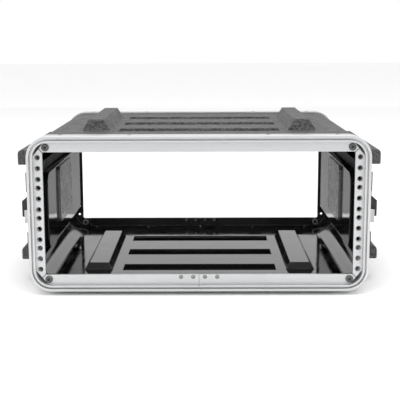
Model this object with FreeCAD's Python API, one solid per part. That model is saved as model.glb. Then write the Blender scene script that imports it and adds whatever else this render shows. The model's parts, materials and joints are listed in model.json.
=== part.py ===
import FreeCAD, Part
import math
import os

# Four-unit, 19-inch rack case: a moulded polyethylene body, open at both ends,
# with an aluminium valance at each end and a spring-loaded handle on each side.
# Millimetres.  X is across, -Y is the front, +Z is up, and Z = 0 is the surface
# that the bottom ribs stand on.

Vec = FreeCAD.Vector

# ---------------------------------------------------------------- rack standard
UNITS = 4
HOLE_STEPS = (15.875, 15.875, 12.7)
HOLE_X = 232.55
FIRST_HOLE_Z = 38.0
RAIL_Y = 219.075
HOLE_R = 2.05
SINK_R = 4.1
SINK_DEPTH = 3.2

# ---------------------------------------------------------------- valance frame
FRAME_X = 247.65
FRAME_LOW = 6.25
FRAME_HIGH = 234.85
FRAME_R = 32.0
FRAME_MID = (FRAME_LOW + FRAME_HIGH) / 2
RIM_FRONT = 227.0
SKIRT_BACK = 201.0
SKIRT_T = 2.6
RIM_W = 9.2
RIM_EDGE_R = 0.9
LIP_W = 3.8
GROOVE_W = 2.9
GROOVE_DEPTH = 5.5
FLANGE_T = 4.0
FLANGE_BACK = RAIL_Y - FLANGE_T
OPENING_X = 225.4
OPENING_LOW = 30.06
OPENING_HIGH = 211.04
LEG_IN = 7.2
LEG_BACK = 212.0
CORNER_CUT_X = 17.0
CORNER_CUT_Z = 21.0
MITRE_RUN = 7.0
SEAM = 0.5
MITRE_W = 1.0

# ---------------------------------------------------------------- moulded shell
WALL = 4.0
SHELL_IN = 2.9
SHELL_END = FLANGE_BACK - 0.2
SHELL_X = FRAME_X - SHELL_IN
SHELL_LOW = FRAME_LOW + SHELL_IN
SHELL_HIGH = FRAME_HIGH - SHELL_IN
MOULD_EDGE_R = 2.0
RIB_Y = (-107.0, 0.0, 107.0)
RIB_HALF = (124.0, 23.0)
RIB_SLOPE = 0.15
GROOVE_HALF = (124.2, 22.8)
GROOVE_SLOPE = 0.25
TOP_GROOVE_DEPTH = 10.0
RIDGE_X = 158.0
RIDGE_HALF = (22.0, 121.0)
RIDGE_SLOPE = (0.6, 0.22)
RIDGE_TOP = 249.5
NEST_HALF = (19.6, 121.2)
NEST_CEILING = 20.5
BUMPER_Y = 139.0
# each bumper: bottom, top, outer face, radius of its upper outer corner
BUMPERS = ((181.8, 205.0, 277.0, 7.0), (34.0, 55.0, 275.3, 8.0))
RECESS_X = 232.0
RECESS_FRONT = 156.0
RECESS_REAR = 197.0
RECESS_LOW = 60.0
RECESS_HIGH = 167.0
RECESS_R = 12.0

# ---------------------------------------------------------------- frame hardware
CORNER_SCREW_X = 220.5
CORNER_SCREW_DZ = 97.4
CORNER_SCREW_R = 2.9
CORNER_SCREW_LENGTH = 12.0
CORNER_NUT_ACROSS = 10.0
BRACKET_T = 3.0
BRACKET_TOE = 212.0
BRACKET_TALL = 62.0
BRACKET_SHOULDER = 46.0
BRACKET_WEB = 3.0
BRACKET_GAP = 9.6
SPLICE_HALF = 36.0
SPLICE_T = 2.5
SPLICE_RIVETS = (-26.6, -8.7, 8.7, 26.6)
SPLICE_RIVET_Z = 26.5
RIVET_R = 1.6
RIVET_HEAD_R = 3.2
SKIRT_RIVET_Y = 208.0
SKIRT_RIVET_X = (-200.0, -100.0, 0.0, 100.0, 200.0)
SKIRT_RIVET_DZ = 76.0
SKIRT_RIVET_HEAD = 0.5
KEEPER_DZ = 44.5
KEEPER_RIVET_DZ = 8.0
KEEPER_RIVET_Y = 209.0
KEEPER_FRONT_Y = 219.0
KEEPER_LIP_Y = 203.6
KEEPER_HOOK_BACK = 199.4
KEEPER_TALL = 28.0
KEEPER_T = 1.6
KEEPER_RISE = 5.6

# ---------------------------------------------------------------- carrying handle
PIVOT_X = 262.0
PIVOT_Z = 133.0
PIN_R = 3.0
CHEEK_Y = 113.0
CHEEK_T = 2.5
PLATE_LOW = 86.5
PLATE_HIGH = 156.0
PLATE_T = 2.5
TAB_X = 274.0
TAB_HIGH = 107.0
LOBE_R = 7.5
ARM_Y = 103.0
ARM_T = 4.0
ARM_HALF = 5.5
BAR_X = 266.0
BAR_Z = 117.0
BAR_R = 4.0
GRIP_HALF = 112.0
GRIP_X = (258.5, 278.0)
GRIP_Z = (109.0, 126.6)
GRIP_RAMP = (7.5, 5.6)
GRIP_LIP_X = 273.5
GRIP_LIP_LOW = 96.0
GRIP_EDGE_R = 1.4
BOLT_Y = 54.0
BOLT_Z = (95.0, 149.0)
BOLT_R = 2.5
BACKING_HALF_Y = 64.0
BACKING_LOW = 78.0
BACKING_HIGH = 169.0
BACKING_T = 3.6
BACKING_CUT = 7.0
POCKET_R = 5.6
POCKET_DEPTH = 2.6
SLOT_HALF = (1.5, 5.0)
SLOT_IN = (8.0, 17.0)
BUFFER_Y = 95.0
BUFFER_Z = 117.0
BUFFER_R = 6.0
BUFFER_END = 258.1
SPRING_R = 4.6
SPRING_WIRE = 0.6
SPRING_TURNS = 4
SPRING_PITCH = 1.1

# length of a tool that goes right through any wall of the frame or the shell
THROUGH = 12.0

ENDS = {"front": -1, "rear": 1}
SIDES = {"left": -1, "right": 1}
LEVELS = {"lower": -1, "upper": 1}


# ---------------------------------------------------------------- shape helpers
def save(name, *solids):
    """Write one node: a single solid, or a group of separate solids."""
    shape = solids[0] if len(solids) == 1 else Part.makeCompound(list(solids))
    shape.exportStep("parts/" + name + ".step")


def clean(shape):
    """The one solid of a boolean's result, with its split faces joined."""
    return shape.removeSplitter().Solids[0]


def block(x, y, z):
    """A box from three (low, high) pairs."""
    return Part.makeBox(x[1] - x[0], y[1] - y[0], z[1] - z[0], Vec(x[0], y[0], z[0]))


def rod(start, direction, radius, length):
    """A cylinder from start along direction."""
    return Part.makeCylinder(radius, length, start, direction)


def prism(points, y_low, y_high):
    """A polygon of (x, z) points, extruded from y_low to y_high."""
    corners = [Vec(x, y_low, z) for x, z in points]
    face = Part.Face(Part.makePolygon(corners + corners[:1]))
    return face.extrude(Vec(0, y_high - y_low, 0))


def rounded_bar(inward, y_low, y_high):
    """The frame's rounded rectangle, drawn in by some distance, along Y."""
    x, low, high = FRAME_X - inward, FRAME_LOW + inward, FRAME_HIGH - inward
    bar = block((-x, x), (y_low, y_high), (low, high))
    edges = [e for e in bar.Edges if abs(e.tangentAt(e.FirstParameter).y) > 0.9]
    return bar.makeFillet(FRAME_R - inward, edges)


def ring(outer, inner, y_low, y_high):
    """A hollow rounded rectangle between two inward distances."""
    return rounded_bar(outer, y_low, y_high).cut(rounded_bar(inner, y_low - 1, y_high + 1))


def frustum(middle, half, slope, z_wide, z_narrow, grow):
    """A rectangular block whose four sides slope in from z_wide to z_narrow.

    grow moves all faces outward, or inward if it is negative; the wide end runs
    on past z_wide so that the block joins or cuts cleanly.  The outer form, with
    nothing grown, has rounded edges.
    """
    way = 1 if z_narrow > z_wide else -1
    overrun = 7.0
    levels = (z_wide - way * overrun, z_narrow + way * grow)
    wires = []
    for z in levels:
        drop = (z - z_wide) * way
        hx, hy = [h - s * drop + grow * math.hypot(1, s) for h, s in zip(half, slope)]
        x, y = middle
        corners = [Vec(x - hx, y - hy, z), Vec(x + hx, y - hy, z),
                   Vec(x + hx, y + hy, z), Vec(x - hx, y + hy, z)]
        wires.append(Part.makePolygon(corners + corners[:1]))
    solid = Part.makeLoft(wires, True, True)
    if grow:
        return solid
    open_end = levels[0]
    edges = [e for e in solid.Edges
             if max(abs(v.Z - open_end) for v in e.Vertexes) > 1.0]
    return solid.makeFillet(MOULD_EDGE_R, edges)


def flip_x(shape):
    return shape.mirror(Vec(0, 0, 0), Vec(1, 0, 0))


def flip_y(shape):
    return shape.mirror(Vec(0, 0, 0), Vec(0, 1, 0))


def at_end(shape, end):
    """Parts are drawn at the front; the rear ones are their mirror images."""
    return flip_y(shape) if end == "rear" else shape


def at_side(shape, side):
    """Parts are drawn on the right; the left ones are their mirror images."""
    return flip_x(shape) if side == "left" else shape


def at_level(shape, level):
    """Corner parts are drawn low; the upper ones mirror about mid height."""
    return shape.mirror(Vec(0, 0, FRAME_MID), Vec(0, 0, 1)) if level == "upper" else shape


def rivet(point, direction, length, head_h=1.2, tail_r=2.5):
    """A blind rivet: domed head outside, shank through length, bulb behind."""
    back = direction * -1
    rim_h = head_h / 3
    rim = rod(point, direction, RIVET_HEAD_R, rim_h)
    dome = Part.makeCone(RIVET_HEAD_R, RIVET_HEAD_R * 0.55, head_h - rim_h,
                         point + direction * rim_h, direction)
    shank = rod(point, back, RIVET_R, length + 2.0)
    bulb = rod(point + back * length, back, tail_r, 2.0)
    core = rod(point + direction * (head_h + 0.1), back, 0.7, 1.0)
    return clean(rim.fuse([dome, shank, bulb]).cut(core))


def hexagon(point, direction, across, depth):
    """A hexagonal prism from point along direction; direction is along X or Y."""
    radius = across / math.sqrt(3)
    side = Vec(0, 0, 1)
    other = direction.cross(side)
    corners = []
    for k in range(6):
        angle = math.radians(60 * k)
        corners.append(point + side * (radius * math.cos(angle))
                       + other * (radius * math.sin(angle)))
    return Part.Face(Part.makePolygon(corners + corners[:1])).extrude(direction * depth)


def socket_screw(point, direction, head_r, head_h, shank_r, length, across):
    """A low round-headed screw with a hexagonal socket, head on the point."""
    back = direction * -1
    head = rod(point, direction, head_r, head_h * 0.6)
    crown = Part.makeCone(head_r, head_r * 0.8, head_h * 0.4,
                          point + direction * (head_h * 0.6), direction)
    shank = rod(point, back, shank_r, length)
    socket = hexagon(point + direction * head_h, back, across, head_h * 0.75)
    return clean(head.fuse([crown, shank]).cut(socket))


# ---------------------------------------------------------------- where things go
def hole_heights():
    heights = [FIRST_HOLE_Z]
    for k in range(3 * UNITS - 1):
        heights.append(heights[-1] + HOLE_STEPS[k % 3])
    return heights


def skirt_rivet_places():
    """(point, outward direction) of the rivets round the front skirt."""
    places = []
    for x in SKIRT_RIVET_X:
        if x:
            places.append((Vec(x, -SKIRT_RIVET_Y, FRAME_LOW), Vec(0, 0, -1)))
            places.append((Vec(x, -SKIRT_RIVET_Y, FRAME_HIGH), Vec(0, 0, 1)))
    for way in SIDES.values():
        for dz in (-SKIRT_RIVET_DZ, 0, SKIRT_RIVET_DZ):
            places.append((Vec(way * FRAME_X, -SKIRT_RIVET_Y, FRAME_MID + dz), Vec(way, 0, 0)))
    return places


def keeper_rivet_places():
    """Two rivets for each keeper on the front skirt, on the keeper's face."""
    places = []
    for way in SIDES.values():
        for level in LEVELS.values():
            for dz in (-KEEPER_RIVET_DZ, KEEPER_RIVET_DZ):
                z = FRAME_MID + level * KEEPER_DZ + dz
                places.append((Vec(way * (FRAME_X + KEEPER_T), -KEEPER_RIVET_Y, z),
                               Vec(way, 0, 0)))
    return places


def bolt_places():
    """The right handle's four bolts, on the bracket plate's outer face."""
    return [Vec(RECESS_X + PLATE_T, y, z) for y in (-BOLT_Y, BOLT_Y) for z in BOLT_Z]


# ---------------------------------------------------------------- moulded shell
def bumper(z_low, z_high, x_outer, radius, inset):
    """One right-hand side bumper, with a large upper outer corner."""
    root = RECESS_X + 3.0
    bar = block((root, x_outer - inset), (inset - BUMPER_Y, BUMPER_Y - inset),
                (z_low + inset, z_high - inset))
    edges = [e for e in bar.Edges if e.BoundBox.XMin > root + 1 and e.BoundBox.YLength > 1]
    top = max(edges, key=lambda e: e.BoundBox.ZMin)
    bar = bar.makeFillet(radius - inset, [top])
    if inset:
        return bar
    edges = [e for e in bar.Edges
             if e.BoundBox.XMax > root + 1
             and (e.BoundBox.YLength < 0.01 or e.BoundBox.ZMax < z_low + 0.01)]
    return bar.makeFillet(MOULD_EDGE_R, edges)


def side_recess(inset):
    """The sunken panel between the right-hand bumpers, grown by inset."""
    low, high = RECESS_LOW - inset, RECESS_HIGH + inset
    well = block((RECESS_X - inset, SHELL_X + 60),
                 (-RECESS_FRONT - inset, RECESS_REAR + inset), (low, high))
    edges = [e for e in well.Edges if e.BoundBox.XLength > 1]
    return well.makeFillet(RECESS_R + inset, edges)


def moulding(inset):
    """The case's outer form, with every face drawn in by inset."""
    length = SHELL_END + (10.0 if inset else 0.0)
    form = rounded_bar(SHELL_IN + inset, -length, length)
    added, taken = [], []
    for place in BUMPERS:
        pad = bumper(*place, inset)
        added += [pad, flip_x(pad)]
    well = side_recess(inset)
    taken += [well, flip_x(well)]
    for y in RIB_Y:
        added.append(frustum((0, y), RIB_HALF, (RIB_SLOPE, RIB_SLOPE),
                             SHELL_LOW, 0.0, -inset))
        taken.append(frustum((0, y), GROOVE_HALF, (GROOVE_SLOPE, GROOVE_SLOPE),
                             SHELL_HIGH, SHELL_HIGH - TOP_GROOVE_DEPTH, inset))
    for way in SIDES.values():
        added.append(frustum((way * RIDGE_X, 0), RIDGE_HALF, RIDGE_SLOPE,
                             SHELL_HIGH, RIDGE_TOP, -inset))
        taken.append(frustum((way * RIDGE_X, 0), NEST_HALF, RIDGE_SLOPE,
                             SHELL_LOW, NEST_CEILING, inset))
    return form.fuse(added).cut(taken)


def make_shell():
    shell = moulding(0.0).cut(moulding(WALL))
    bores = []
    for point, out in skirt_rivet_places() + keeper_rivet_places():
        bores.append(rod(point, out * -1, RIVET_R + 0.05, THROUGH))
    bores += [flip_y(bore) for bore in bores]
    for point in bolt_places():
        bore = rod(point, Vec(-1, 0, 0), BOLT_R + 0.2, THROUGH)
        bores += [bore, flip_x(bore)]
    save("body_shell", clean(shell.cut(bores)))


# ---------------------------------------------------------------- valances
def flange_plate():
    """The inward flange: a plate with cut corners and the equipment opening."""
    reach = RIM_W - 0.4
    x, low, high = FRAME_X - reach, FRAME_LOW + reach, FRAME_HIGH - reach
    cx, cz = CORNER_CUT_X, CORNER_CUT_Z
    outline = [(-x, low + cz), (-x + cx, low), (x - cx, low), (x, low + cz),
               (x, high - cz), (x - cx, high), (-x + cx, high), (-x, high - cz)]
    plate = prism(outline, -RAIL_Y, -FLANGE_BACK)
    return plate.cut(block((-OPENING_X, OPENING_X), (-RAIL_Y - 1, -FLANGE_BACK + 1),
                           (OPENING_LOW, OPENING_HIGH)))


def mitre_slits():
    """Thin diagonal saw cuts where the four flange strips meet."""
    slits = []
    for x_way in SIDES.values():
        for corner_z, z_way in ((OPENING_LOW, -1), (OPENING_HIGH, 1)):
            x0, z0 = x_way * (OPENING_X - 0.5), corner_z - z_way * 0.5
            x1, z1 = x0 + x_way * MITRE_RUN, z0 + z_way * MITRE_RUN
            half = MITRE_W / 2 / math.sqrt(2)
            across = (half * x_way, -half * z_way)
            outline = [(x0 + across[0], z0 + across[1]), (x1 + across[0], z1 + across[1]),
                       (x1 - across[0], z1 - across[1]), (x0 - across[0], z0 - across[1])]
            slits.append(prism(outline, -RAIL_Y - 1, -FLANGE_BACK + 1))
    return slits


def rack_holes():
    """Countersunk holes down both sides of the flange, on the rack pattern."""
    tools = []
    back = Vec(0, 1, 0)
    for x in (-HOLE_X, HOLE_X):
        for z in hole_heights():
            tools.append(rod(Vec(x, -RAIL_Y - 1, z), back, HOLE_R, FLANGE_T + 2))
            tools.append(Part.makeCone(SINK_R, HOLE_R, SINK_DEPTH, Vec(x, -RAIL_Y, z), back))
    return tools


def corner_screw_places():
    return [Vec(x * CORNER_SCREW_X, -RAIL_Y, FRAME_MID + z * CORNER_SCREW_DZ)
            for x in SIDES.values() for z in LEVELS.values()]


def make_valance():
    """The bent extrusion: grooved rim, outer skirt, shell channel and flange."""
    rim = ring(0, RIM_W, -RIM_FRONT, -FLANGE_BACK)
    rim = rim.makeFillet(RIM_EDGE_R, [e for e in rim.Edges if e.BoundBox.YMax < 1 - RIM_FRONT])
    skirt = ring(0, SKIRT_T, -FLANGE_BACK - 1, -SKIRT_BACK)
    leg = ring(LEG_IN, RIM_W, -FLANGE_BACK - 1, -LEG_BACK)
    groove = ring(LIP_W, LIP_W + GROOVE_W, -RIM_FRONT - 1, -RIM_FRONT + GROOVE_DEPTH)
    body = rim.fuse([skirt, leg, flange_plate()]).cut(groove)
    tools = mitre_slits() + rack_holes()
    tools.append(block((-SEAM / 2, SEAM / 2), (-RIM_FRONT - 1, -SKIRT_BACK + 1),
                       (FRAME_LOW - 1, OPENING_LOW + 1)))
    tools += [rod(p - Vec(0, 1, 0), Vec(0, 1, 0), CORNER_SCREW_R + 0.2, THROUGH)
              for p in corner_screw_places()]
    tools += [rod(Vec(x, -RAIL_Y - 1, SPLICE_RIVET_Z), Vec(0, 1, 0), RIVET_R + 0.05, THROUGH)
              for x in SPLICE_RIVETS]
    tools += [rod(p + out, out * -1, RIVET_R + 0.05, 7)
              for p, out in skirt_rivet_places() + keeper_rivet_places()]
    return clean(body.cut(tools))


# ---------------------------------------------------------------- frame hardware
def corner_bracket():
    """The lower right plate behind the flange, tied in by the corner screw."""
    side, floor = OPENING_X + 0.3, OPENING_LOW - 0.3
    outline = [(BRACKET_TOE, FRAME_LOW), (FRAME_X, FRAME_LOW), (FRAME_X, BRACKET_SHOULDER),
               (side + 2, BRACKET_TALL), (side, BRACKET_TALL), (side, floor + BRACKET_WEB),
               (side - BRACKET_WEB, floor), (BRACKET_TOE, floor)]
    plate = prism(outline, -FLANGE_BACK, -FLANGE_BACK + BRACKET_T)
    plate = plate.common(rounded_bar(BRACKET_GAP, -RAIL_Y, -SKIRT_BACK))
    bores = [rod(Vec(HOLE_X, -RAIL_Y, z), Vec(0, 1, 0), HOLE_R + 0.4, THROUGH)
             for z in hole_heights()[:2]]
    bores.append(rod(Vec(CORNER_SCREW_X, -RAIL_Y, FRAME_MID - CORNER_SCREW_DZ),
                     Vec(0, 1, 0), CORNER_SCREW_R + 0.2, THROUGH))
    return clean(plate.cut(bores))


def splice_plate():
    """The plate behind the bottom seam of the bent extrusion."""
    plate = block((-SPLICE_HALF, SPLICE_HALF), (-FLANGE_BACK, -FLANGE_BACK + SPLICE_T),
                  (FRAME_LOW + BRACKET_GAP, OPENING_LOW - 0.3))
    bores = [rod(Vec(x, -RAIL_Y, SPLICE_RIVET_Z), Vec(0, 1, 0), RIVET_R + 0.05, THROUGH)
             for x in SPLICE_RIVETS]
    return clean(plate.cut(bores))


def keeper():
    """A lower right latch keeper: riveted base, raised lip hooked to the rear."""
    x = FRAME_X
    z = FRAME_MID - KEEPER_DZ
    tall = (z - KEEPER_TALL / 2, z + KEEPER_TALL / 2)
    lip_y = -KEEPER_LIP_Y
    base = block((x, x + KEEPER_T), (-KEEPER_FRONT_Y, lip_y), tall)
    riser = block((x, x + KEEPER_RISE), (lip_y, lip_y + KEEPER_T), tall)
    hook = block((x + KEEPER_RISE - KEEPER_T, x + KEEPER_RISE),
                 (lip_y, -KEEPER_HOOK_BACK), tall)
    bores = [rod(point, out * -1, RIVET_R + 0.05, 5)
             for point, out in keeper_rivet_places()]
    return clean(base.fuse([riser, hook]).cut(bores))


def make_frame_hardware():
    for end in ENDS:
        save(end + "_valance", at_end(make_valance(), end))
        save(end + "_splice_plate", at_end(splice_plate(), end))
        pins = [rivet(Vec(x, -RAIL_Y, SPLICE_RIVET_Z), Vec(0, -1, 0), FLANGE_T + SPLICE_T)
                for x in SPLICE_RIVETS]
        save(end + "_splice_rivets", *[at_end(pin, end) for pin in pins])
        front = Vec(0, -1, 0)
        screws = [socket_screw(p, front, head_r=5.5, head_h=2.6, shank_r=CORNER_SCREW_R,
                               length=CORNER_SCREW_LENGTH, across=4.0)
                  for p in corner_screw_places()]
        save(end + "_corner_screws", *[at_end(screw, end) for screw in screws])
        nuts = []
        for p in corner_screw_places():
            seat = p + Vec(0, FLANGE_T + BRACKET_T, 0)
            nut = hexagon(seat, Vec(0, 1, 0), CORNER_NUT_ACROSS, 4.0)
            nuts.append(clean(nut.cut(rod(p, Vec(0, 1, 0), CORNER_SCREW_R + 0.05, THROUGH))))
        save(end + "_corner_nuts", *[at_end(nut, end) for nut in nuts])
        skirt_pins = [rivet(p, out, SKIRT_T + WALL + 0.3, SKIRT_RIVET_HEAD)
                      for p, out in skirt_rivet_places()]
        save(end + "_skirt_rivets", *[at_end(pin, end) for pin in skirt_pins])
        keeper_pins = [rivet(p, out, KEEPER_T + SKIRT_T + WALL + 0.3, tail_r=2.4)
                       for p, out in keeper_rivet_places()]
        save(end + "_keeper_rivets", *[at_end(pin, end) for pin in keeper_pins])
        for side in SIDES:
            for level in LEVELS:
                place = "_".join((end, level, side))
                bracket = at_level(at_side(corner_bracket(), side), level)
                save(place + "_bracket", at_end(bracket, end))
                catch = at_level(at_side(keeper(), side), level)
                save(place + "_keeper", at_end(catch, end))


# ---------------------------------------------------------------- handles
def pivot_bore(radius):
    """A tool along the right pivot, longer than the handle is wide."""
    reach = CHEEK_Y + 10
    return rod(Vec(PIVOT_X, -reach, PIVOT_Z), Vec(0, 1, 0), radius, 2 * reach)


def handle_bracket():
    """The right plated bracket: a back plate with a cheek bent out at each end."""
    outer = RECESS_X + PLATE_T
    plate = block((RECESS_X, outer), (-CHEEK_Y - CHEEK_T, CHEEK_Y + CHEEK_T),
                  (PLATE_LOW, PLATE_HIGH))
    outline = [(RECESS_X, PLATE_LOW), (TAB_X, PLATE_LOW), (TAB_X, TAB_HIGH),
               (TAB_X - 6, TAB_HIGH + 1), (PIVOT_X, TAB_HIGH + 5),
               (PIVOT_X - LOBE_R, TAB_HIGH + 12),
               (PIVOT_X - LOBE_R, PIVOT_Z), (PIVOT_X, PIVOT_Z + LOBE_R),
               (PIVOT_X - 12, PLATE_HIGH - 6), (PIVOT_X - 22, PLATE_HIGH),
               (RECESS_X, PLATE_HIGH)]
    cheek = prism(outline, CHEEK_Y, CHEEK_Y + CHEEK_T)
    lobe = rod(Vec(PIVOT_X, CHEEK_Y, PIVOT_Z), Vec(0, 1, 0), LOBE_R, CHEEK_T)
    cheek = cheek.fuse(lobe)
    body = plate.fuse([cheek, flip_y(cheek)])
    bores = [rod(p + Vec(1, 0, 0), Vec(-1, 0, 0), BOLT_R + 0.2, THROUGH)
             for p in bolt_places()]
    bores.append(pivot_bore(PIN_R + 0.05))
    return clean(body.cut(bores))


def bail():
    """The right moving frame: two flat arms joined by the bar inside the grip."""
    out = Vec(0, 1, 0)
    arms = []
    for y in (-ARM_Y - ARM_T, ARM_Y):
        arm = block((PIVOT_X - ARM_HALF, PIVOT_X + ARM_HALF), (y, y + ARM_T),
                    (BAR_Z - BAR_R, PIVOT_Z))
        lobe = rod(Vec(PIVOT_X, y, PIVOT_Z), out, ARM_HALF, ARM_T)
        arms.append(arm.fuse(lobe))
    bar = rod(Vec(BAR_X, -ARM_Y - 1, BAR_Z), out, BAR_R, 2 * ARM_Y + 2)
    return clean(arms[0].fuse([arms[1], bar]).cut(pivot_bore(PIN_R + 0.3)))


def grip():
    """The right hand grip: a thick back with a thin finger lip below it."""
    x0, x1 = GRIP_X
    z0, z1 = GRIP_Z
    run, drop = GRIP_RAMP
    outline = [(x0, z0), (GRIP_LIP_X, z0), (GRIP_LIP_X, GRIP_LIP_LOW), (x1, GRIP_LIP_LOW),
               (x1, z1 - drop), (x1 - run, z1), (x0, z1)]
    body = prism(outline, -GRIP_HALF, GRIP_HALF)
    long_edges = [e for e in body.Edges if e.BoundBox.YLength > 1]
    body = body.makeFillet(GRIP_EDGE_R, long_edges)
    return clean(body.cut(bail()))


def hinge_pins():
    """Two headed pins at the right pivot, each through a cheek and an arm."""
    pins = []
    outer = CHEEK_Y + CHEEK_T
    for way in (-1, 1):
        out = Vec(0, way, 0)
        shank = rod(Vec(PIVOT_X, way * (ARM_Y - 2.2), PIVOT_Z), out, PIN_R, outer - ARM_Y + 2.2)
        head = rod(Vec(PIVOT_X, way * outer, PIVOT_Z), out, 5.0, 1.0)
        crown = Part.makeCone(5.0, 3.6, 1.0, Vec(PIVOT_X, way * (outer + 1), PIVOT_Z), out)
        pins.append(clean(shank.fuse([head, crown])))
    return pins


def pin_clips():
    """Open retaining rings on the inner ends of the pins."""
    clips = []
    for way in (-1, 1):
        out = Vec(0, way, 0)
        base = Vec(PIVOT_X, way * (ARM_Y - 1.5), PIVOT_Z)
        clip = rod(base, out, 5.2, 0.9).cut(rod(base, out, PIN_R + 0.02, 0.9))
        slot = block((PIVOT_X - 1.2, PIVOT_X + 1.2), (-ARM_Y, ARM_Y),
                     (PIVOT_Z, PIVOT_Z + 8))
        clips.append(clean(clip.cut(slot)))
    return clips


def return_springs():
    """A torsion coil on each pin, with one straight leg against the plate."""
    axis = Vec(0, 1, 0)
    first = ARM_Y + ARM_T + SPRING_WIRE + 0.5
    turns = [Part.makeTorus(SPRING_R, SPRING_WIRE,
                            Vec(PIVOT_X, first + k * SPRING_PITCH, PIVOT_Z), axis)
             for k in range(SPRING_TURNS)]
    leg = rod(Vec(PIVOT_X, first, PIVOT_Z + SPRING_R), Vec(-1, 0, 0), SPRING_WIRE,
              PIVOT_X - RECESS_X - PLATE_T - 1)
    spring = clean(turns[0].fuse(turns[1:] + [leg]))
    return [spring, flip_y(spring)]


def rest_buffers():
    """Rubber posts on the plate that the bail's arms come home against."""
    buffers = []
    base = RECESS_X + PLATE_T
    for y in (-BUFFER_Y, BUFFER_Y):
        post = Part.makeCone(BUFFER_R + 1.5, BUFFER_R, BUFFER_END - base,
                             Vec(base, y, BUFFER_Z), Vec(1, 0, 0))
        buffers.append(post)
    return buffers


def backing_plate():
    """The right inner stiffening plate, with nut pockets and end slots."""
    face = RECESS_X - WALL
    cut, y, low, high = BACKING_CUT, BACKING_HALF_Y, BACKING_LOW, BACKING_HIGH
    outline = [(-y + cut, low), (y - cut, low), (y, low + cut), (y, high - cut),
               (y - cut, high), (-y + cut, high), (-y, high - cut), (-y, low + cut)]
    corners = [Vec(face - BACKING_T, py, pz) for py, pz in outline]
    plate = Part.Face(Part.makePolygon(corners + corners[:1])).extrude(Vec(BACKING_T, 0, 0))
    tools = []
    for p in bolt_places():
        tools.append(rod(p, Vec(-1, 0, 0), BOLT_R + 0.2, THROUGH))
        tools.append(rod(Vec(face - BACKING_T, p.y, p.z), Vec(1, 0, 0), POCKET_R, POCKET_DEPTH))
    half_y, half_z = SLOT_HALF
    for slot_y in (-y + SLOT_IN[0], y - SLOT_IN[0]):
        for slot_z in (low + SLOT_IN[1], high - SLOT_IN[1]):
            tools.append(block((face - BACKING_T - 1, face + 1),
                               (slot_y - half_y, slot_y + half_y),
                               (slot_z - half_z, slot_z + half_z)))
    return clean(plate.cut(tools))


def handle_nuts():
    """Thin nuts in the backing plate's pockets."""
    face = RECESS_X - WALL - BACKING_T
    nuts = []
    for p in bolt_places():
        nut = hexagon(Vec(face + 0.2, p.y, p.z), Vec(1, 0, 0), 8.0, 2.4)
        nuts.append(clean(nut.cut(rod(p, Vec(-1, 0, 0), BOLT_R + 0.05, THROUGH))))
    return nuts


def make_handles():
    bolt_length = PLATE_T + WALL + BACKING_T - 0.4
    for side in SIDES:
        screws = [socket_screw(p, Vec(1, 0, 0), head_r=5.0, head_h=2.4, shank_r=BOLT_R,
                               length=bolt_length, across=3.0)
                  for p in bolt_places()]
        pieces = {
            "handle_bracket": [handle_bracket()],
            "handle_bolts": screws,
            "handle_nuts": handle_nuts(),
            "backing_plate": [backing_plate()],
            "hinge_pins": hinge_pins(),
            "pin_clips": pin_clips(),
            "return_springs": return_springs(),
            "rest_buffers": rest_buffers(),
            "handle_bail": [bail()],
            "handle_grip": [grip()],
        }
        for name, solids in pieces.items():
            save(side + "_" + name, *[at_side(solid, side) for solid in solids])


os.makedirs("parts", exist_ok=True)
make_shell()
make_frame_hardware()
make_handles()
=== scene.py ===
import json
import math

import bpy
from mathutils import Matrix, Vector
from mathutils.bvhtree import BVHTree


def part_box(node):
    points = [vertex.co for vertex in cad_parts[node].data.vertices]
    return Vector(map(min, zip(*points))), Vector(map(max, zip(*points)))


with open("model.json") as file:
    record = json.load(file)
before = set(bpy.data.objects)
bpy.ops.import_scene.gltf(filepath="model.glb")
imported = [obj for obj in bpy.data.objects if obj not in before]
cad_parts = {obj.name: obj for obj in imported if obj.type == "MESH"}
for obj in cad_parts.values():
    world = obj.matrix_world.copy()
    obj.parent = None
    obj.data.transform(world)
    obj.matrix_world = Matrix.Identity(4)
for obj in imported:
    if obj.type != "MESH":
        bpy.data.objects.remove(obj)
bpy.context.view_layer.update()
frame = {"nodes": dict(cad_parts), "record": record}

# Looks of the open rack case: materials on the CAD pieces, a pale floor, soft
# light and the camera.  Metres.

MM = 0.001
record = frame["record"]
nodes = frame["nodes"]

# ---------------------------------------------------------------- camera
CAMERA_AT = Vector((0.0086, -1.5404, 0.3730))
CAMERA_PITCH = math.radians(9.96)
CAMERA_YAW = math.radians(-0.30)
CAMERA_ROLL = math.radians(-0.19)
CAMERA_LENS_MM = 83.4

# The skirt reaches further into the case than the flange's back by more than this.
FLANGE_BACK_FROM_SKIRT = 10 * MM
# The side walls stand out from the sunken panels by more than this, and their
# duller finish starts at this height above the ribs.
PANEL_STEP = 6 * MM
FLOOR_ABOVE = 60 * MM
SCREW_HEAD_R = 5.5 * MM
SOCKET_R = 2.5 * MM
SOCKET_SUNK = 0.05 * MM
SINK_R = 4.3 * MM
RACK_STEPS = (15.875 * MM, 15.875 * MM, 12.7 * MM)
RACK_HOLES = 12

# The share of a face's normal along Y: above the first it faces that way, and
# above the second it is flat to it, so it is no part of a countersink.
FACING = 0.9
FLAT = 0.98
# Rays sent round the Y axis from each shell face, to tell outside from inside.
RAYS = 12
RAY_START = 0.2 * MM
# How far a softened normal turns from the flat one where edge wear begins and
# where it is full, as the cosine of the angle.
WEAR_TURN = (0.995, 0.80)

# Places of the second and third materials on the pieces that have them.
GLOSSY, DULL = 1, 2
DARK, SINK_SHADE = 1, 2

# ---------------------------------------------------------------- studio sizes
FLOOR_HALF = 12.0
CAMERA_CARD_HALF, CAMERA_CARD_Y, CAMERA_CARD_TOP = 1.6, -2.8, 1.5
CAMERA_CARD_TONE = 0.40
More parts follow.
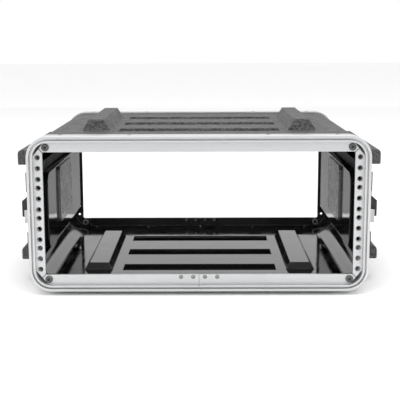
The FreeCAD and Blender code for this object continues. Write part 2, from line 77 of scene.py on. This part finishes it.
# The card behind the case lies just clear of the floor; the glossy faces see it as painted
# shade on the floor behind the case.
CASE_CARD_HALF, CASE_CARD_NEAR, CASE_CARD_FAR, CASE_CARD_Z = 1.2, 0.40, 3.5, 0.002
CASE_CARD_TONE = 0.30
LIGHT_AIM = (0, 0, 0.1)
OVERHEAD_AT, OVERHEAD_SIZE, OVERHEAD_POWER = (0.0, -0.3, 2.2), (2.4, 2.0), 32.0
FRONT_X, FRONT_Y, FRONT_Z = 1.8, -2.0, 1.6
FRONT_SIZE, FRONT_POWER = (1.4, 1.4), 16.0


def add_camera():
    """A level camera turned by yaw, tipped down by pitch, then rolled."""
    forward = Vector((math.sin(CAMERA_YAW) * math.cos(CAMERA_PITCH),
                      math.cos(CAMERA_YAW) * math.cos(CAMERA_PITCH),
                      -math.sin(CAMERA_PITCH)))
    right = Vector((math.cos(CAMERA_YAW), -math.sin(CAMERA_YAW), 0.0))
    up = right.cross(forward)
    tilted = right * math.cos(CAMERA_ROLL) + up * math.sin(CAMERA_ROLL)
    head = up * math.cos(CAMERA_ROLL) - right * math.sin(CAMERA_ROLL)
    turn = Matrix((tilted, head, -forward)).transposed().to_4x4()
    data = bpy.data.cameras.new("camera")
    data.lens = CAMERA_LENS_MM
    camera = bpy.data.objects.new("camera", data)
    camera.matrix_world = Matrix.Translation(CAMERA_AT) @ turn
    bpy.context.scene.collection.objects.link(camera)
    bpy.context.scene.camera = camera


# ---------------------------------------------------------------- node helpers
class Shader:
    """One material's node tree, with short calls for the nodes used here."""

    def __init__(self, name):
        self.material = bpy.data.materials.new(name)
        self.material.use_nodes = True
        self.tree = self.material.node_tree
        self.bsdf = self.tree.nodes["Principled BSDF"]
        self.place = self.tree.nodes.new("ShaderNodeTexCoord").outputs["Object"]

    def node(self, kind, **settings):
        made = self.tree.nodes.new(kind)
        for name, value in settings.items():
            setattr(made, name, value)
        return made

    def put(self, value, socket):
        """Link a socket, or set a number, on an input."""
        if isinstance(value, bpy.types.NodeSocket):
            self.tree.links.new(value, socket)
        else:
            socket.default_value = value

    def stretch(self, scale):
        mapping = self.node("ShaderNodeMapping")
        self.put(self.place, mapping.inputs["Vector"])
        mapping.inputs["Scale"].default_value = scale
        return mapping.outputs["Vector"]

    def noise(self, scale, detail=2.0, rough=0.5, place=None):
        made = self.node("ShaderNodeTexNoise")
        self.put(place or self.place, made.inputs["Vector"])
        made.inputs["Scale"].default_value = scale
        made.inputs["Detail"].default_value = detail
        made.inputs["Roughness"].default_value = rough
        return made.outputs["Fac"]

    def cells(self, scale, feature="F1"):
        made = self.node("ShaderNodeTexVoronoi", feature=feature)
        self.put(self.place, made.inputs["Vector"])
        made.inputs["Scale"].default_value = scale
        return made.outputs["Distance"]

    def math(self, operation, a, b=0.0):
        made = self.node("ShaderNodeMath", operation=operation)
        self.put(a, made.inputs[0])
        self.put(b, made.inputs[1])
        return made.outputs[0]

    def ramp(self, value, low, high, to_low=0.0, to_high=1.0):
        made = self.node("ShaderNodeMapRange", interpolation_type="SMOOTHSTEP")
        self.put(value, made.inputs["Value"])
        for name, number in (("From Min", low), ("From Max", high),
                             ("To Min", to_low), ("To Max", to_high)):
            made.inputs[name].default_value = number
        return made.outputs["Result"]

    def mix(self, factor, first, second):
        made = self.node("ShaderNodeMix", data_type="RGBA")
        self.put(factor, made.inputs["Factor"])
        self.put(first, made.inputs["A"])
        self.put(second, made.inputs["B"])
        return made.outputs["Result"]

    def axes(self):
        made = self.node("ShaderNodeSeparateXYZ")
        self.put(self.place, made.inputs[0])
        return made.outputs

    def edges(self, radius):
        """1 on sharp outer edges and 0 on flats, and the softened normal."""
        bevel = self.node("ShaderNodeBevel", samples=4)
        bevel.inputs["Radius"].default_value = radius
        flat = self.node("ShaderNodeNewGeometry").outputs["Normal"]
        dot = self.node("ShaderNodeVectorMath", operation="DOT_PRODUCT")
        self.put(bevel.outputs["Normal"], dot.inputs[0])
        self.put(flat, dot.inputs[1])
        wear = self.ramp(dot.outputs["Value"], *WEAR_TURN)
        return wear, bevel.outputs["Normal"]

    def bump(self, height, distance, strength, normal):
        made = self.node("ShaderNodeBump")
        made.inputs["Strength"].default_value = strength
        made.inputs["Distance"].default_value = distance
        self.put(height, made.inputs["Height"])
        self.put(normal, made.inputs["Normal"])
        return made.outputs["Normal"]

    def finish(self, color, metallic, roughness, normal=None, **constants):
        self.put(color, self.bsdf.inputs["Base Color"])
        self.put(metallic, self.bsdf.inputs["Metallic"])
        self.put(roughness, self.bsdf.inputs["Roughness"])
        if normal is not None:
            self.put(normal, self.bsdf.inputs["Normal"])
        for name, value in constants.items():
            self.bsdf.inputs[name.replace("_", " ")].default_value = value
        return self.material


def grey(value, warm=0.0):
    """An RGBA grey, a little warmer or cooler."""
    return (value * (1 + warm), value, value * (1 - warm), 1.0)


# ---------------------------------------------------------------- materials
def grained_shell():
    """Leather-grained polyethylene: pebbles, fine pores, scuffed edges."""
    s = Shader("grained_polyethylene")
    warp = s.noise(90.0, 2.0)
    pebble = s.cells(270.0, "SMOOTH_F1")
    crease = s.ramp(pebble, 0.15, 0.75, 1.0, 0.0)
    pores = s.noise(900.0, 3.0, 0.6)
    height = s.math("ADD", crease, s.math("MULTIPLY", pores, 0.35))
    wear, soft = s.edges(1.6 * MM)
    # The grain's creases are painted darker than the pebble tops: painted shade that follows
    # the grain's height.
    tone = s.mix(crease, grey(0.018), grey(0.070))
    tone = s.mix(s.ramp(warp, 0.35, 0.7, 0.0, 0.35), tone, grey(0.085))
    tone = s.mix(s.math("MULTIPLY", wear, s.ramp(pores, 0.3, 0.7, 0.1, 0.8)), tone, grey(0.15))
    rough = s.ramp(s.noise(60.0, 3.0), 0.3, 0.7, 0.50, 0.66)
    return s.finish(tone, 0.0, rough, s.bump(height, 0.9 * MM, 1.0, soft), IOR=1.5)


def glossy_shell():
    """The smooth inside of the moulding: glossy, with flow waves and haze."""
    s = Shader("glossy_polyethylene")
    waves = s.noise(14.0, 2.0, 0.4)
    peel = s.noise(260.0, 2.0, 0.5)
    haze = s.noise(45.0, 4.0, 0.6)
    height = s.math("ADD", waves, s.math("MULTIPLY", peel, 0.05))
    tone = s.mix(haze, grey(0.003), grey(0.009))
    rough = s.ramp(haze, 0.3, 0.75, 0.05, 0.13)
    wear, soft = s.edges(2.5 * MM)
    return s.finish(tone, 0.0, rough, s.bump(height, 0.9 * MM, 0.5, soft), IOR=1.5)


def valance_aluminium():
    """Satin anodised extrusion, with draw lines along each mitred member."""
    s = Shader("satin_aluminium")
    x, _, z = s.axes()
    low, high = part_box("front_valance")
    middle = (low.z + high.z) / 2
    lead = (high.x - low.x) / 2 - (high.z - low.z) / 2
    across = s.math("SUBTRACT", s.math("ABSOLUTE", x), lead)
    upright = s.math("ABSOLUTE", s.math("SUBTRACT", z, middle))
    side = s.math("GREATER_THAN", across, upright)
    level = s.noise(1.0, 3.0, 0.6, s.stretch((6.0, 1400.0, 1400.0)))
    plumb = s.noise(1.0, 3.0, 0.6, s.stretch((1400.0, 1400.0, 6.0)))
    lines = s.math("ADD", s.math("MULTIPLY", side, plumb),
                   s.math("MULTIPLY", s.math("SUBTRACT", 1.0, side), level))
    cloud = s.noise(22.0, 3.0)
    wear, soft = s.edges(0.5 * MM)
    tone = s.mix(lines, grey(0.50, -0.015), grey(0.64, -0.008))
    tone = s.mix(s.math("MULTIPLY", wear, 0.6), tone, grey(0.85))
    rough = s.math("ADD", s.ramp(cloud, 0.3, 0.7, 0.27, 0.36), s.math("MULTIPLY", lines, 0.08))
    return s.finish(tone, 0.8, rough, s.bump(lines, 0.03 * MM, 0.35, soft))


def plated(name, tone, rough):
    """Plated steel: faint pressing waves, fine brushing and brighter edges."""
    s = Shader(name)
    brush = s.noise(1.0, 3.0, 0.6, s.stretch((900.0, 60.0, 900.0)))
    spots = s.noise(240.0, 4.0, 0.65)
    wear, soft = s.edges(0.4 * MM)
    base = s.mix(brush, grey(tone * 0.82, 0.02), grey(tone, 0.02))
    base = s.mix(s.ramp(spots, 0.62, 0.75, 0.0, 0.5), base, grey(tone * 0.6, 0.03))
    base = s.mix(s.math("MULTIPLY", wear, 0.7), base, grey(min(tone * 1.25, 0.95)))
    sheen = s.math("ADD", s.ramp(spots, 0.3, 0.7, rough, rough + 0.12),
                   s.math("MULTIPLY", brush, 0.06))
    return s.finish(base, 1.0, sheen, s.bump(brush, 0.02 * MM, 0.4, soft))


def enamel(name, tone, rough, ior=1.5, peel_strength=0.35):
    """Enamel or phosphate over metal, chipped to grey along its edges."""
    s = Shader(name)
    peel = s.noise(420.0, 2.0, 0.5)
    dust = s.noise(70.0, 4.0, 0.6)
    wear, soft = s.edges(0.5 * MM)
    chips = s.math("MULTIPLY", wear, s.ramp(s.noise(700.0, 3.0), 0.5, 0.62))
    base = s.mix(dust, grey(tone * 0.75), grey(tone * 1.3))
    base = s.mix(chips, base, grey(0.22))
    sheen = s.ramp(dust, 0.3, 0.7, rough, rough + 0.14)
    return s.finish(base, 0.0, sheen, s.bump(peel, 0.12 * MM, peel_strength, soft), IOR=ior)


def rubber(name, tone, grain):
    """Moulded elastomer with a fine spark-eroded grain and greyed edges."""
    s = Shader(name)
    dots = s.cells(grain)
    fine = s.noise(grain * 2.5, 3.0, 0.6)
    wear, soft = s.edges(0.8 * MM)
    base = s.mix(fine, grey(tone * 0.8), grey(tone * 1.25))
    base = s.mix(s.math("MULTIPLY", wear, 0.35), base, grey(tone * 2.6))
    sheen = s.ramp(fine, 0.3, 0.7, 0.55, 0.72)
    return s.finish(base, 0.0, sheen, s.bump(dots, 0.15 * MM, 0.6, soft), IOR=1.5)


def slot_materials():
    return {
        "moulded_shell": grained_shell(),
        "valance_aluminium": valance_aluminium(),
        "screw_steel": plated("dull_screw_steel", 0.13, 0.28),
        "keeper_steel": enamel("phosphated_steel", 0.050, 0.75, ior=1.2),
        "zinc_steel": plated("zinc_plated_steel", 0.58, 0.30),
        "nickel_plate": plated("nickel_plated_steel", 0.52, 0.24),
        "black_steel": enamel("black_enamel", 0.018, 0.26),
        "rivet_aluminium": plated("rivet_aluminium", 0.30, 0.34),
        # The backing plates' dark grey is partly their own near-black colour and partly
        # painted reflection.
        "backing_plate": enamel("grey_enamel_and_painted_reflection", 0.15, 0.20, peel_strength=0.06),
        "spring_steel": plated("spring_steel", 0.36, 0.30),
        "buffer_rubber": rubber("buffer_rubber", 0.025, 700.0),
        "grip_rubber": rubber("grip_rubber", 0.022, 900.0),
    }


# ---------------------------------------------------------------- second materials
def paint_flange_back(node, painted_shade):
    """Give the flange's back, which faces into the case, a near-black painted shade."""
    mesh = nodes[node].data
    mesh.materials.append(painted_shade)
    back = min(abs(v.co.y) for v in mesh.vertices)
    for face in mesh.polygons:
        inward = face.normal.y * -math.copysign(1.0, face.center.y)
        if inward > FACING and abs(face.center.y) > back + FLANGE_BACK_FROM_SKIRT:
            face.material_index = DARK


def rack_holes():
    """X of a rail's holes from the middle, and their heights from the lowest up."""
    rail = next(m for m in record["mounts"] if m["name"] == "front_rack_rails")
    heights = [rail["pos_m"][2] - rail["dims"]["spacing_y_mm"] * MM / 2]
    for k in range(RACK_HOLES - 1):
        heights.append(heights[-1] + RACK_STEPS[k % 3])
    return rail["dims"]["spacing_x_mm"] * MM / 2, heights


def paint_sinks(node, sink_shade):
    """Give the countersinks of the rack holes a darker, duller metal, as painted shade in the
    cones.
    """
    mesh = nodes[node].data
    mesh.materials.append(sink_shade)
    hole_x, heights = rack_holes()
    for face in mesh.polygons:
        if abs(face.normal.y) > FLAT:
            continue
        off_x = abs(face.center.x) - hole_x
        off_z = min((face.center.z - z for z in heights), key=abs)
        if math.hypot(off_x, off_z) < SINK_R:
            face.material_index = SINK_SHADE


def paint_sockets(node, painted_shade):
    """Give the sockets in the heads of four corner screws a dark painted shade."""
    mesh = nodes[node].data
    mesh.materials.append(painted_shade)
    low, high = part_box(node)
    middle = (low.z + high.z) / 2
    axis_x = high.x - SCREW_HEAD_R
    axis_z = high.z - middle - SCREW_HEAD_R
    top = max(abs(low.y), abs(high.y))
    for face in mesh.polygons:
        off_x = abs(face.center.x) - axis_x
        off_z = abs(face.center.z - middle) - axis_z
        sunk = top - abs(face.center.y) > SOCKET_SUNK
        if sunk and math.hypot(off_x, off_z) < SOCKET_R:
            face.material_index = DARK


def paint_shell(inside, dull):
    """Give smooth finishes to the faces that look into the case.

    The side walls round the sunken panels, at the full width of the case, are
    duller than the panels and the floor.
    """
    mesh = nodes["body_shell"].data
    mesh.materials.append(inside)
    mesh.materials.append(dull)
    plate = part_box("right_backing_plate")[1]
    tree = BVHTree.FromPolygons([v.co for v in mesh.vertices],
                                [tuple(p.vertices) for p in mesh.polygons])
    rays = [Vector((math.cos(a), 0.0, math.sin(a)))
            for a in (2 * math.pi * k / RAYS for k in range(RAYS))]
    for face in mesh.polygons:
        start = face.center + face.normal * RAY_START
        sees_out = any(tree.ray_cast(start, ray)[0] is None for ray in rays)
        beyond = abs(face.center.x) > plate.x + PANEL_STEP and face.center.z > FLOOR_ABOVE
        face.material_index = 0 if sees_out else DULL if beyond else GLOSSY


def dress_nodes():
    """Give each piece its slot's material, then the second finishes."""
    materials = slot_materials()
    for part in record["subparts"]:
        mesh = nodes[part["node"]].data
        mesh.materials.clear()
        mesh.materials.append(materials[part["material_slot"]])
    dull = enamel("dull_polyethylene", 0.004, 0.45, ior=1.2)
    paint_shell(glossy_shell(), dull)
    # A near-black painted shade for the flange's back and the screw sockets, where shade
    # falls.
    painted_shade = enamel("painted_shade_enamel", 0.022, 0.30)
    # Darker metal for the countersinks: painted shade in the cones.
    painted_sink_shade = plated("countersink_painted_shade", 0.52, 0.30)
    for end in ("front", "rear"):
        paint_flange_back(end + "_valance", painted_shade)
        paint_sinks(end + "_valance", painted_sink_shade)
        paint_sockets(end + "_corner_screws", painted_shade)


# ---------------------------------------------------------------- studio
def add_sheet(name, corners, material):
    """One four-cornered face of the studio, which is no part of the case."""
    mesh = bpy.data.meshes.new(name)
    mesh.from_pydata(corners, [], [(0, 1, 2, 3)])
    mesh.materials.append(material)
    sheet = bpy.data.objects.new(name, mesh)
    bpy.context.scene.collection.objects.link(sheet)
    return sheet


def add_floor():
    half = FLOOR_HALF
    s = Shader("pale_floor")
    cloud = s.noise(3.0, 2.0)
    pale = s.finish(s.mix(cloud, grey(0.93), grey(0.95)), 0.0, 0.75, IOR=1.3)
    add_sheet("studio_floor", [(-half, -half, 0.0), (half, -half, 0.0),
                               (half, half, 0.0), (-half, half, 0.0)], pale)


def add_card(name, corners, tone):
    """A matt card that the camera does not see but the glossy faces do: a painted dark
    reflection that casts no shadow.
    """
    card = add_sheet(name, corners, Shader(name).finish(grey(tone), 0.0, 0.9))
    card.visible_camera = False
    card.visible_diffuse = False
    card.visible_shadow = False


def add_area_light(name, at, size, power):
    """A soft rectangular light turned to the middle of the case."""
    data = bpy.data.lights.new(name, "AREA")
    data.shape = "RECTANGLE"
    data.size, data.size_y = size
    data.energy = power
    light = bpy.data.objects.new(name, data)
    light.location = at
    light.rotation_euler = (Vector(LIGHT_AIM) - Vector(at)).to_track_quat("-Z", "Y").to_euler()
    bpy.context.scene.collection.objects.link(light)


def add_studio():
    """A white surround, the two cards and the three lights."""
    scene = bpy.context.scene
    world = bpy.data.worlds.new("studio")
    world.use_nodes = True
    world.node_tree.nodes["Background"].inputs["Color"].default_value = (1, 1, 1, 1)
    world.node_tree.nodes["Background"].inputs["Strength"].default_value = 1.0
    scene.world = world
    scene.view_settings.view_transform = "Standard"
    half, y, top = CAMERA_CARD_HALF, CAMERA_CARD_Y, CAMERA_CARD_TOP
    add_card("card_behind_camera", [(-half, y, 0.0), (half, y, 0.0),
                                    (half, y, top), (-half, y, top)], CAMERA_CARD_TONE)
    half, near, far, z = CASE_CARD_HALF, CASE_CARD_NEAR, CASE_CARD_FAR, CASE_CARD_Z
    add_card("card_behind_case", [(-half, near, z), (half, near, z),
                                  (half, far, z), (-half, far, z)], CASE_CARD_TONE)
    add_area_light("overhead", OVERHEAD_AT, OVERHEAD_SIZE, OVERHEAD_POWER)
    add_area_light("front_left", (-FRONT_X, FRONT_Y, FRONT_Z), FRONT_SIZE, FRONT_POWER)
    add_area_light("front_right", (FRONT_X, FRONT_Y, FRONT_Z), FRONT_SIZE, FRONT_POWER)


dress_nodes()
add_camera()
add_floor()
add_studio()
